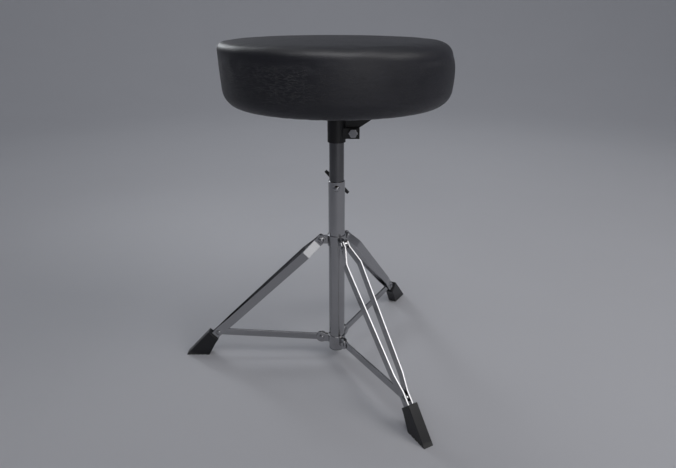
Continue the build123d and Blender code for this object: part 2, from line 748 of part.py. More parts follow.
def make_strip(azimuth, side):
    """Flat bar on edge, bent to spread from its mate, round-cornered at both ends."""
    with BuildPart() as strip:
        extrude(strip_section(azimuth, side), amount=STRIP_W / 2, both=True)
        line = Axis(place(azimuth, TOP_PIVOT), down_leg(azimuth))
        ends = strip.edges().filter_by(pin_axis(azimuth, TOP_PIVOT)).sort_by(line)
        fillet(ends[:2] + ends[-2:], STRIP_CORNER)
        for point in (TOP_PIVOT, KNEE_PIVOT):
            with BuildSketch(pin_face(azimuth, point)):
                Circle(PIVOT_R)
            extrude(amount=side * 4 * GAP_SPREAD, mode=Mode.SUBTRACT)
    return strip


def make_pivot_bolt(azimuth):
    """Domed bolt through the strips and the upper collar's lug."""
    outer = GAP_TOP + STRIP_T
    with BuildPart() as bolt:
        with BuildSketch(pin_section(azimuth, TOP_PIVOT)):
            with BuildLine():
                dome(DOME_R, outer, DOME_T)
            make_face()
        revolve(axis=pin_axis(azimuth, TOP_PIVOT))
        with BuildSketch(pin_face(azimuth, TOP_PIVOT).offset(-outer - NUT_GRIP)):
            Circle(PIVOT_R)
        extrude(amount=2 * outer + NUT_GRIP + DOME_T / 2)
    return bolt


def make_pivot_nut(azimuth):
    """Domed nut on the pivot bolt's far end."""
    outer = GAP_TOP + STRIP_T
    face = pin_face(azimuth, TOP_PIVOT).offset(-outer)
    with BuildPart() as nut:
        with BuildSketch(face):
            RegularPolygon(NUT_HEX / 2, 6, major_radius=False)
        extrude(amount=-NUT_T)
        with BuildSketch(pin_section(azimuth, TOP_PIVOT)):
            with BuildLine():
                dome(NUT_HEX * NUT_CAP_R, -outer - NUT_T / 2, -NUT_CAP_T)
            make_face()
        revolve(axis=pin_axis(azimuth, TOP_PIVOT))
        with BuildSketch(face):
            Circle(PIVOT_R)
        extrude(amount=-NUT_GRIP, mode=Mode.SUBTRACT)
    return nut


def make_pivot_washers(azimuth):
    """Two plastic washers between the lug and the strips."""
    with BuildPart() as washers:
        for start in (-GAP_TOP, GAP_TOP - WASHER_T):
            with BuildSketch(pin_face(azimuth, TOP_PIVOT).offset(start)):
                Circle(WASHER_R)
                Circle(PIVOT_R, mode=Mode.SUBTRACT)
            extrude(amount=WASHER_T)
    return washers


def make_knee_rivets(azimuth):
    """Rivet on each strip, with a boss that guides the brace's end."""
    boss_start = BRACE_T / 2 + BRACE_GAP
    outer = GAP_FOOT + STRIP_T
    with BuildPart() as rivets:
        for side in (-1, 1):
            with BuildSketch(pin_section(azimuth, KNEE_PIVOT)):
                with BuildLine():
                    dome(RIVET_HEAD_R, side * outer, side * RIVET_HEAD_T)
                make_face()
            revolve(axis=pin_axis(azimuth, KNEE_PIVOT))
            with BuildSketch(pin_face(azimuth, KNEE_PIVOT).offset(side * boss_start)):
                Circle(BOSS_R)
            extrude(amount=side * (GAP_FOOT - boss_start))
            with BuildSketch(pin_face(azimuth, KNEE_PIVOT).offset(side * boss_start)):
                Circle(PIVOT_R)
            extrude(amount=side * (outer + RIVET_HEAD_T / 2 - boss_start))
    return rivets


def foot_outline():
    """Side outline of a boot in the leg's upright plane, down to the floor."""
    along, out = Vector(sin(LEAN), -cos(LEAN)), Vector(cos(LEAN), sin(LEAN))
    top = Vector(*TOP_PIVOT)
    floor_r = TOP_PIVOT[0] + TOP_PIVOT[1] * sin(LEAN) / cos(LEAN)
    mouth_in = top + along * FOOT_START - out * FOOT_IN
    mouth_out = top + along * FOOT_START + out * FOOT_OUT
    knee = top + along * FOOT_KNEE[0] - out * FOOT_KNEE[1]
    return [
        (mouth_in.X, mouth_in.Y),
        (knee.X, knee.Y),
        (floor_r - FOOT_HEEL, 0),
        (floor_r + FOOT_TOE, 0),
        (mouth_out.X, mouth_out.Y),
    ]


def make_foot(azimuth):
    """Rubber boot with a pocket for each strip and a grooved sole."""
    floor_r = TOP_PIVOT[0] + TOP_PIVOT[1] * sin(LEAN) / cos(LEAN)
    sole = FOOT_HEEL + FOOT_TOE
    pitch = sole / (GROOVE_COUNT + 1)
    with BuildPart() as foot:
        with BuildSketch(upright(azimuth)) as outline:
            with BuildLine():
                Polyline(*foot_outline(), close=True)
            make_face()
            fillet(outline.vertices(), FOOT_CORNER)
        extrude(amount=FOOT_HALF_W, both=True)
        sides = foot.faces().filter_by(pin_axis(azimuth, TOP_PIVOT))
        fillet(sides.edges(), FOOT_EDGE)
        with BuildSketch(upright(azimuth)):
            with Locations((floor_r - FOOT_HEEL + sole / 2, 0)):
                with GridLocations(pitch, 1, GROOVE_COUNT, 1):
                    Rectangle(GROOVE_W, 2 * GROOVE_DEPTH)
        extrude(amount=FOOT_HALF_W, both=True, mode=Mode.SUBTRACT)
        for side in (-1, 1):
            section = strip_section(azimuth, side)
            extrude(section, amount=STRIP_W / 2, both=True, mode=Mode.SUBTRACT)
        with BuildSketch(beside_leg(azimuth)):
            with Locations((FOOT_START - 1, -RELIEF_IN)):
                Rectangle(RELIEF_DEPTH + 1, FOOT_OUT + 2 * RELIEF_IN, align=(Align.MIN, Align.MIN))
        extrude(amount=BRACE_T / 2 + BRACE_GAP, both=True, mode=Mode.SUBTRACT)
    return foot


# ------------------------------------------------------------------- braces
def make_brace(azimuth):
    """Flat brace from the sliding collar out to the leg."""
    slope = degrees(atan2(BRACE_RISE, BRACE_RUN))
    middle = ((LOW_PIVOT[0] + KNEE_PIVOT[0]) / 2, (LOW_PIVOT[1] + KNEE_PIVOT[1]) / 2)
    with BuildPart() as brace:
        with BuildSketch(upright(azimuth)):
            with Locations(middle):
                SlotCenterToCenter(BRACE_LENGTH, BRACE_W, rotation=slope)
            with Locations(LOW_PIVOT, KNEE_PIVOT):
                Circle(PIVOT_R, mode=Mode.SUBTRACT)
        extrude(amount=BRACE_T / 2, both=True)
    return brace


def make_brace_rivet(azimuth):
    """Rivet that joins a brace to the sliding collar's ears."""
    outer = EAR_GAP + EAR_T + FACE_GAP
    with BuildPart() as rivet:
        for side in (-1, 1):
            with BuildSketch(pin_section(azimuth, LOW_PIVOT)):
                with BuildLine():
                    dome(RIVET_HEAD_R, side * outer, side * RIVET_HEAD_T)
                make_face()
            revolve(axis=pin_axis(azimuth, LOW_PIVOT))
        with BuildSketch(pin_face(azimuth, LOW_PIVOT)):
            Circle(PIVOT_R)
        extrude(amount=outer + RIVET_HEAD_T / 2, both=True)
    return rivet


# ----------------------------------------------------------------- assembly
os.makedirs("parts", exist_ok=True)

finish(make_seat_cover(), "seat_cover")
finish(make_seat_foam(), "seat_foam")
finish(make_seat_board(), "seat_board")
finish(make_tee_nuts(), "tee_nuts")
finish(make_staples(), "cover_staples")
finish(make_seat_bracket(), "seat_bracket")
finish(make_bracket_screws(), "bracket_screws")
finish(make_clamp_bolt(), "clamp_bolt")
finish(make_clamp_nut(), "clamp_nut")

finish(make_seat_post(), "seat_post")
finish(make_tube_plug(POST_BOTTOM - PLUG_FLANGE_T, POST_R, POST_R - POST_WALL), "post_plug")
finish(make_base_tube(), "base_tube")
finish(make_tube_plug(TUBE_BOTTOM, TUBE_R, TUBE_ID_R), "tube_plug")
finish(make_height_bolt(), "height_bolt")
finish(make_saddle_washer(), "saddle_washer")
finish(make_lock_handle(), "lock_handle")

finish(make_upper_collar(), "upper_collar")
finish(make_collar_rivet(), "collar_rivet")
finish(make_lower_collar(), "lower_collar")

for number, azimuth in enumerate(LEG_AZIMUTHS, start=1):
    leg = "leg_" + str(number)
    finish(make_strip(azimuth, 1), leg + "_strip_left")
    finish(make_strip(azimuth, -1), leg + "_strip_right")
    finish(make_pivot_bolt(azimuth), leg + "_pivot_bolt")
    finish(make_pivot_nut(azimuth), leg + "_pivot_nut")
    finish(make_pivot_washers(azimuth), leg + "_washers")
    finish(make_knee_rivets(azimuth), leg + "_knee_rivets")
    finish(make_foot(azimuth), leg + "_foot")
    finish(make_brace(azimuth), "brace_" + str(number) + "_bar")
    finish(make_brace_rivet(azimuth), "brace_" + str(number) + "_rivet")

print("leg fold", round(degrees(LEG_FOLD), 3), "degrees")
print("brace fold", round(degrees(BRACE_FOLD), 3), "degrees")
print("collar rise", round(COLLAR_RISE, 3))
print("top pivot", TOP_PIVOT, "low pivot", LOW_PIVOT, "knee pivot", KNEE_PIVOT)
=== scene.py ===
"""Drum throne: a round padded seat on a post that slides in a folding three-legged base."""

import json
import logging
import math
from dataclasses import dataclass, field
from enum import Enum

import bmesh
import bpy
from mathutils import Matrix, Vector


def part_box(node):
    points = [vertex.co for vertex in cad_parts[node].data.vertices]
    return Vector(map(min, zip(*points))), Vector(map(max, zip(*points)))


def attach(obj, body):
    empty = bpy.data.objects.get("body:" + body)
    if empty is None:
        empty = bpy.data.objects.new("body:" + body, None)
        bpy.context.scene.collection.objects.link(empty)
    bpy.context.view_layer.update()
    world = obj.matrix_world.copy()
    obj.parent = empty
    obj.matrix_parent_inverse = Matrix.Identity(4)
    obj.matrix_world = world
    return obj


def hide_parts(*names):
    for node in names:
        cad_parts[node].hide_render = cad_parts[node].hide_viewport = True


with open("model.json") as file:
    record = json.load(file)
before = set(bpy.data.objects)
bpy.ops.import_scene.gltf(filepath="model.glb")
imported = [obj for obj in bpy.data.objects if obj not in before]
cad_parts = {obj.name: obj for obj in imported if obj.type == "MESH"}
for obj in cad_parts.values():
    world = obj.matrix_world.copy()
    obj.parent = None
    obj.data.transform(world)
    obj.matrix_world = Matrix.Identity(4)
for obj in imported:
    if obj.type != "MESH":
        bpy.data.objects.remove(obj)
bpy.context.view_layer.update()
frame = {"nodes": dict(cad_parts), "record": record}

log = logging.getLogger("drum_throne")

MM = 0.001
MERGE_GAP = 1e-6
WIDE_GAP = 1e-5
FLAT_DEGREES = 0.6
EVEN_WEIGHT = 50
Colour = tuple[float, float, float, float]


def grey(level: float, blue: float = 1.0) -> Colour:
    """A neutral colour, with its blue part scaled to cool or warm it."""
    return (level, level, level * blue, 1.0)


# ---------------------------------------------------------------- shader maths


class Value:
    """One output of a node, with arithmetic that adds Math nodes."""

    def __init__(self, graph: "Graph", socket: bpy.types.NodeSocket) -> None:
        """Wraps a socket.

        Args:
            graph: The material that the socket's node belongs to.
            socket: The output socket.
        """
        self.graph = graph
        self.socket = socket

    def __add__(self, other: "Value | float") -> "Value":
        """self + other."""
        return self.graph.maths("ADD", self, other)

    def __radd__(self, other: float) -> "Value":
        """other + self."""
        return self.graph.maths("ADD", other, self)

    def __sub__(self, other: "Value | float") -> "Value":
        """self - other."""
        return self.graph.maths("SUBTRACT", self, other)

    def __rsub__(self, other: float) -> "Value":
        """other - self."""
        return self.graph.maths("SUBTRACT", other, self)

    def __mul__(self, other: "Value | float") -> "Value":
        """self * other."""
        return self.graph.maths("MULTIPLY", self, other)

    def __rmul__(self, other: float) -> "Value":
        """other * self."""
        return self.graph.maths("MULTIPLY", other, self)


class Graph:
    """The node tree of one material."""

    def __init__(self, name: str) -> None:
        """Starts a material that holds only its output node.

        Args:
            name: The material's name.
        """
        self.material = bpy.data.materials.new(name)
        self.material.use_nodes = True
        self.tree = self.material.node_tree
        self.tree.nodes.clear()
        self.output = self.tree.nodes.new("ShaderNodeOutputMaterial")

    def node(
        self,
        kind: str,
        settings: dict[str, object] | None = None,
        inputs: dict[str | int, object] | None = None,
        output: str | int = 0,
    ) -> Value:
        """Adds a node.

        Args:
            kind: The node's type, such as "ShaderNodeTexNoise".
            settings: Its properties, set before the sockets; "stops" sets a ramp's stops.
            inputs: Values or links by socket name or number.
            output: The output socket that is returned.

        Returns:
            The chosen output.
        """
        made = self.tree.nodes.new(kind)
        for key, setting in (settings or {}).items():
            if key == "stops":
                self._set_stops(made.color_ramp, setting)
            else:
                setattr(made, key, setting)
        for key, entry in (inputs or {}).items():
            if isinstance(entry, Value):
                self.tree.links.new(entry.socket, made.inputs[key])
            else:
                made.inputs[key].default_value = entry
        return Value(self, made.outputs[output])

    @staticmethod
    def _set_stops(ramp: bpy.types.ColorRamp, stops: list[tuple[float, float]]) -> None:
        """Sets a ramp's stops.

        Args:
            ramp: The ramp of a Color Ramp node.
            stops: Position and grey level of each stop, in order.
        """
        while len(ramp.elements) < len(stops):
            ramp.elements.new(0.5)
        for element, (position, level) in zip(ramp.elements, stops):
            element.position = position
            element.color = grey(level)

    def maths(self, operation: str, *terms: "Value | float") -> Value:
        """Adds a Math node.

        Args:
            operation: The node's operation.
            terms: Its values or links, in order.

        Returns:
            Its result.
        """
        return self.node("ShaderNodeMath", {"operation": operation}, dict(enumerate(terms)))

    def place(self, stretch: tuple[float, float, float] = (1.0, 1.0, 1.0)) -> Value:
        """Object coordinates, stretched along each axis."""
        where = self.node("ShaderNodeTexCoord", output="Object")
        return self.node("ShaderNodeMapping", None, {"Vector": where, "Scale": stretch})

    def height(self) -> Value:
        """Height above the floor in metres."""
        where = self.node("ShaderNodeTexCoord", output="Object")
        return self.node("ShaderNodeSeparateXYZ", None, {0: where}, "Z")

    def noise(self, where: Value, scale: float, detail: float = 3.0, rough: float = 0.55) -> Value:
        """Smooth noise from 0 to 1.

        Args:
            where: The coordinates that it reads.
            scale: Its frequency per metre.
            detail: Its octaves.
            rough: How strong each further octave is.

        Returns:
            The noise.
        """
        inputs = {"Vector": where, "Scale": scale, "Detail": detail, "Roughness": rough}
        return self.node("ShaderNodeTexNoise", None, inputs)

    def cells(self, where: Value, scale: float) -> Value:
        """Distance to the nearest cell centre."""
        inputs = {"Vector": where, "Scale": scale}
        return self.node("ShaderNodeTexVoronoi", {"feature": "F1"}, inputs, "Distance")

    def ramp(self, value: Value, *stops: tuple[float, float]) -> Value:
        """The value passed through a ramp of (position, level) stops."""
        return self.node("ShaderNodeValToRGB", {"stops": list(stops)}, {0: value})

    def band(self, value: Value, low: float, high: float) -> Value:
        """0 below low, 1 above high, smooth between."""
        settings = {"interpolation_type": "SMOOTHSTEP"}
        return self.node("ShaderNodeMapRange", settings, {0: value, 1: low, 2: high})

    def blend(self, mask: Value, under: "Value | Colour", over: "Value | Colour") -> Value:
        """Mixes two colours.

        Args:
            mask: 0 shows under, 1 shows over.
            under: A colour or link.
            over: A colour or link.

        Returns:
            The mixed colour.
        """
        made = self.tree.nodes.new("ShaderNodeMix")
        made.data_type = "RGBA"
        for index, entry in ((0, mask), (6, under), (7, over)):
            if isinstance(entry, Value):
                self.tree.links.new(entry.socket, made.inputs[index])
            else:
                made.inputs[index].default_value = entry
        return Value(self, made.outputs[2])

    def bump(
        self, height: Value, depth: float, strength: float = 1.0, onto: Value | None = None
    ) -> Value:
        """A normal raised by a height.

        Args:
            height: The height from 0 to 1.
            depth: What a height of 1 is, in metres.
            strength: How much of it shows.
            onto: A normal that it is laid over.

        Returns:
            The normal.
        """
        inputs: dict[str | int, object] = {
            "Height": height, "Distance": depth, "Strength": strength,
        }
        if onto is not None:
            inputs["Normal"] = onto
        return self.node("ShaderNodeBump", None, inputs)

    def finish(self, **sockets: object) -> bpy.types.Material:
        """Adds the surface shader and links it to the output.

        Args:
            sockets: Its values or links, a socket's spaces written as underscores.

        Returns:
            The material.
        """
        inputs = {name.replace("_", " "): entry for name, entry in sockets.items()}
        surface = self.node("ShaderNodeBsdfPrincipled", None, inputs)
        self.tree.links.new(surface.socket, self.output.inputs["Surface"])
        return self.material


# -------------------------------------------------------------------- finishes


@dataclass(frozen=True)
class Vinyl:
    """Black upholstery vinyl with a pebbled grain and fine creases round the seat's side, with
    painted shade darkening the creases.
    """

    colour: float = 0.021
    roughness: float = 0.47
    grain: float = 820.0
    grain_depth: float = 0.00016
    crease_depth: float = 0.0003
    crease_flatness: float = 6.0
    crease_scale: float = 88.0
    crease_width: float = 0.022
    crease_reach: tuple[float, float] = (0.28, 0.5)
    dimple_depth: float = 0.0016
    side_top: float = 0.5
    side_fade: tuple[float, float] = (0.022, 0.004)

    def material(self) -> bpy.types.Material:
        """The vinyl's material."""
        graph = Graph("seat_vinyl")
        where = graph.place()
        pebble = graph.ramp(graph.cells(where, self.grain), (0.0, 1.0), (0.75, 0.0))
        pores = graph.noise(where, self.grain * 2.1, 2.0)
        cloud = graph.noise(where, 34.0, 4.0)
        flat = graph.place((1.0, 1.0, self.crease_flatness))
        wave = graph.noise(flat, self.crease_scale, 3.0, 0.62)
        fold = graph.maths("ABSOLUTE", wave - 0.5)
        crease = 1.0 - graph.band(fold, 0.0, self.crease_width)
        low, high = (self.side_top - fade for fade in self.side_fade)
        side = 1.0 - graph.band(graph.height(), low, high)
        broad = graph.noise(graph.place((1.0, 1.0, 1.6)), 17.0, 2.0)
        patch = graph.band(broad, *self.crease_reach)
        crease = crease * side * patch
        shade = graph.blend(cloud, grey(self.colour * 0.8, 1.3), grey(self.colour * 1.2, 1.35))
        # painted shade: the creases' colour is darkened towards a third of the vinyl's, as if
        # shade fell in them
        shade = graph.blend(crease * 0.7, shade, grey(self.colour * 0.3))
        rough = self.roughness - 0.06 + 0.12 * cloud + 0.08 * crease - 0.05 * pebble
        normal = graph.bump(pebble + 0.35 * pores, self.grain_depth, 0.55)
        normal = graph.bump(1.0 - crease, self.crease_depth, 0.7, normal)
        normal = graph.bump(graph.noise(flat, 30.0, 2.0), self.dimple_depth, 0.22, normal)
        return graph.finish(
            Base_Color=shade, Roughness=rough, Normal=normal, IOR=1.5,
            Specular_IOR_Level=0.5,
        )


class Plating(Enum):
    """The metals' finishes: colour, roughness and how strong the brushing is."""

    CHROME = (0.4, 1.03, 0.19, 0.10)
    BLACK_CHROME = (0.155, 1.04, 0.2, 0.12)
    ZINC = (0.46, 1.03, 0.34, 0.3)


@dataclass(frozen=True)
class Metal:
    """Plated steel: faint streaks of polishing, finger haze and fine pits."""

    name: str
    plating: Plating
    lengthwise: tuple[float, float, float] = (1.0, 1.0, 0.06)
    streak_scale: float = 1900.0
    streak_depth: float = 0.00002
    haze_scale: float = 26.0
    pit_scale: float = 1400.0
    pit_depth: float = 0.00003

    def material(self) -> bpy.types.Material:
        """The metal's material."""
        level, blue, roughness, brushing = self.plating.value
        graph = Graph(self.name)
        where = graph.place()
        streak = graph.noise(graph.place(self.lengthwise), self.streak_scale, 2.0)
        haze = graph.noise(where, self.haze_scale, 4.0, 0.6)
        pits = graph.band(graph.noise(where, self.pit_scale, 1.0), 0.7, 0.78)
        shade = graph.blend(haze, grey(level * 0.9, blue), grey(level * 1.08, blue))
        shade = graph.blend(pits * 0.35, shade, grey(level * 0.4, blue))
        rough = roughness - 0.03 + 0.09 * graph.band(haze, 0.42, 0.7) + 0.08 * pits
        rough = rough + (streak - 0.5) * (0.22 * brushing)
        normal = graph.bump(streak, self.streak_depth, brushing)
        normal = graph.bump(1.0 - pits, self.pit_depth, 0.3, normal)
        return graph.finish(
            Base_Color=shade, Metallic=1.0, Roughness=rough, Normal=normal, IOR=2.2,
        )


@dataclass(frozen=True)
class PowderCoat:
    """Black coating baked onto a casting, with its orange-peel surface."""

    colour: float = 0.005
    roughness: float = 0.5
    peel_scale: float = 620.0
    peel_depth: float = 0.00014
    casting_scale: float = 95.0
    casting_depth: float = 0.0004
    speck_scale: float = 1500.0

    def material(self) -> bpy.types.Material:
        """The coating's material."""
        graph = Graph("black_powder_coat")
        where = graph.place()
        peel = graph.noise(where, self.peel_scale, 2.0)
        casting = graph.noise(where, self.casting_scale, 4.0, 0.6)
        speck = graph.band(graph.cells(where, self.speck_scale), 0.12, 0.02)
        shade = graph.blend(casting, grey(self.colour * 0.7, 1.15), grey(self.colour * 1.5, 1.2))
        shade = graph.blend(speck * 0.3, shade, grey(0.05))
        rough = self.roughness + 0.12 * (peel - 0.5) + 0.08 * (casting - 0.5)
        normal = graph.bump(peel, self.peel_depth, 0.5)
        normal = graph.bump(casting, self.casting_depth, 0.25, normal)
        return graph.finish(Base_Color=shade, Roughness=rough, Normal=normal, IOR=1.5)


@dataclass(frozen=True)
class Rubber:
    """Moulded black rubber, scuffed and dusty towards the sole."""

    colour: float = 0.0085
    roughness: float = 0.36
    dust: float = 0.085
    dust_height: tuple[float, float] = (0.001, 0.011)
    skin_scale: float = 900.0
    skin_depth: float = 0.00012
    cloud_scale: float = 70.0
    cloud_depth: float = 0.0006

    def material(self) -> bpy.types.Material:
        """The rubber's material."""
        graph = Graph("black_rubber")
        where = graph.place()
        skin = graph.noise(where, self.skin_scale, 3.0)
        cloud = graph.noise(where, self.cloud_scale, 4.0, 0.62)
        low = 1.0 - graph.band(graph.height(), *self.dust_height)
        scuff = graph.band(cloud * 0.8 + low * 0.45, 0.62, 0.95)
        shade = graph.blend(cloud, grey(self.colour * 0.75, 1.3), grey(self.colour * 1.4, 1.35))
        shade = graph.blend(scuff * 0.5, shade, grey(self.dust, 0.95))
        rough = self.roughness + 0.16 * (cloud - 0.5) + 0.25 * scuff
        normal = graph.bump(skin, self.skin_depth, 0.5)
        normal = graph.bump(cloud, self.cloud_depth, 0.2, normal)
        return graph.finish(Base_Color=shade, Roughness=rough, Normal=normal, IOR=1.48)


@dataclass(frozen=True)
class Moulding:
    """A moulded plastic with a fine matt texture."""

    name: str
    colour: float
    blue: float
    roughness: float
    etch_scale: float = 1500.0
    etch_depth: float = 0.00006
    flow_scale: float = 60.0

    def material(self) -> bpy.types.Material:
        """The plastic's material."""
        graph = Graph(self.name)
        where = graph.place()
        etch = graph.noise(where, self.etch_scale, 2.0)
        flow = graph.noise(where, self.flow_scale, 3.0)
        dark, light = grey(self.colour * 0.85, self.blue), grey(self.colour * 1.1, self.blue)
        rough = self.roughness + 0.1 * (flow - 0.5) + 0.08 * (etch - 0.5)
        return graph.finish(
            Base_Color=graph.blend(flow, dark, light),
            Roughness=rough,
            Normal=graph.bump(etch, self.etch_depth, 0.4),
            IOR=1.47,
        )


@dataclass(frozen=True)
class Plywood:
    """Bare birch plywood: face grain that runs along X, with darker streaks and pores."""

    light: Colour = (0.43, 0.29, 0.165, 1.0)
    dark: Colour = (0.25, 0.145, 0.07, 1.0)
    streak: Colour = (0.16, 0.085, 0.04, 1.0)
    ring_count: float = 9.0
    grain_scale: float = 210.0
    pore_scale: float = 1300.0
    grain_depth: float = 0.00018
    roughness: float = 0.62

    def material(self) -> bpy.types.Material:
        """The plywood's material."""
        graph = Graph("bare_plywood")
        bend = graph.noise(graph.place((1.0, 2.5, 1.0)), 5.0, 2.0)
        along = graph.place((0.09, 1.0, 1.0))
        grain = graph.noise(along, self.grain_scale, 4.0, 0.65)
        rings = graph.maths("FRACT", bend * self.ring_count)
        rings = graph.band(graph.maths("ABSOLUTE", rings - 0.5), 0.1, 0.5)
        pores = graph.noise(graph.place((0.05, 1.0, 1.0)), self.pore_scale, 2.0)
        pores = graph.band(pores, 0.62, 0.72)
        shade = graph.blend(grain, self.dark, self.light)
        shade = graph.blend(rings * 0.4, shade, self.dark)
        shade = graph.blend(pores * 0.6, shade, self.streak)
        rough = self.roughness + 0.15 * (grain - 0.5) + 0.1 * pores
        normal = graph.bump(grain - pores, self.grain_depth, 0.45)
        return graph.finish(Base_Color=shade, Roughness=rough, Normal=normal, IOR=1.45)


class Finishes:
    """One material for each of the record's material slots."""

    def __init__(self) -> None:
        """Makes the materials."""
        self.by_slot: dict[str, bpy.types.Material] = {
            "vinyl": Vinyl().material(),
            "plywood": Plywood().material(),
            "cast_black": PowderCoat().material(),
            "chrome": Metal("chrome_plate", Plating.CHROME).material(),
            "post_finish": Metal("black_chrome_plate", Plating.BLACK_CHROME).material(),
            "zinc": Metal("zinc_plate", Plating.ZINC, (1.0, 1.0, 0.5)).material(),
            "rubber": Rubber().material(),
            "black_plastic": Moulding("black_plastic", 0.014, 1.08, 0.42).material(),
            "white_nylon": Moulding("white_nylon", 0.62, 0.94, 0.48).material(),
        }

    @staticmethod
    def slot_of(node: bpy.types.Object) -> str:
        """The record's slot that a CAD node was packed with."""
        return node.data.materials[0].name.split(".")[0]

    def dress(self, piece: bpy.types.Object, slot: str) -> None:
        """Gives a piece the material of one slot, on its object's own material slots."""
        if not piece.material_slots:
            piece.data.materials.append(None)
        for entry in piece.material_slots:
            entry.link = "OBJECT"
            entry.material = self.by_slot[slot]


# ------------------------------------------------------------------ mesh helpers


def new_piece(name: str, bm: bmesh.types.BMesh, sharp_degrees: float = 32.0) -> bpy.types.Object:
    """Turns a bmesh into a smooth-shaded object at the origin.

    Args:
        name: The piece's name.
        bm: Its mesh, which is freed.
        sharp_degrees: Edges that turn more than this stay sharp.

    Returns:
        The object.
    """
    mesh = bpy.data.meshes.new(name)
    bm.to_mesh(mesh)
    bm.free()
    mesh.shade_smooth()
    mesh.set_sharp_from_angle(angle=math.radians(sharp_degrees))
    piece = bpy.data.objects.new(name, mesh)
    bpy.context.scene.collection.objects.link(piece)
    return piece


def closed_outwards(bm: bmesh.types.BMesh, gap: float = MERGE_GAP) -> None:
    """Merges doubled vertices and turns the faces of a closed shell outwards."""
    bmesh.ops.remove_doubles(bm, verts=bm.verts[:], dist=gap)
    bmesh.ops.recalc_face_normals(bm, faces=bm.faces[:])


def spin_round(bm: bmesh.types.BMesh, steps: int) -> None:
    """Spins a section a full turn about Z and joins the turn's ends."""
    bmesh.ops.spin(
        bm, geom=bm.verts[:] + bm.edges[:], cent=(0, 0, 0), axis=(0, 0, 1),
        angle=2 * math.pi, steps=steps, use_merge=True, use_duplicate=False,
    )


def bevel_edges(
    bm: bmesh.types.BMesh, edges: list[bmesh.types.BMEdge], width: float, segments: int
) -> None:
    """Rounds edges.

    Args:
        bm: The mesh.
        edges: The edges.
        width: The rounds' width.
        segments: How many faces cross each round.
    """
    bmesh.ops.bevel(
        bm, geom=edges, offset=width, offset_type="OFFSET", segments=segments,
        profile=0.5, affect="EDGES", material=-1, clamp_overlap=True, loop_slide=True,
    )


def bake_modifiers(piece: bpy.types.Object) -> None:
    """Replaces a piece's mesh by its evaluated one and clears its modifiers."""
    graph = bpy.context.evaluated_depsgraph_get()
    mesh = bpy.data.meshes.new_from_object(piece.evaluated_get(graph), depsgraph=graph)
    piece.modifiers.clear()
    piece.data = mesh


def flat_faces_true(piece: bpy.types.Object) -> None:
    """Keeps large faces flat in shading, so that only the narrow rounds at their edges turn."""
    weigh = piece.modifiers.new("weigh", "WEIGHTED_NORMAL")
    weigh.mode = "FACE_AREA"
    weigh.weight = EVEN_WEIGHT
    weigh.keep_sharp = True
    bake_modifiers(piece)


# ------------------------------------------------------------------------- seat


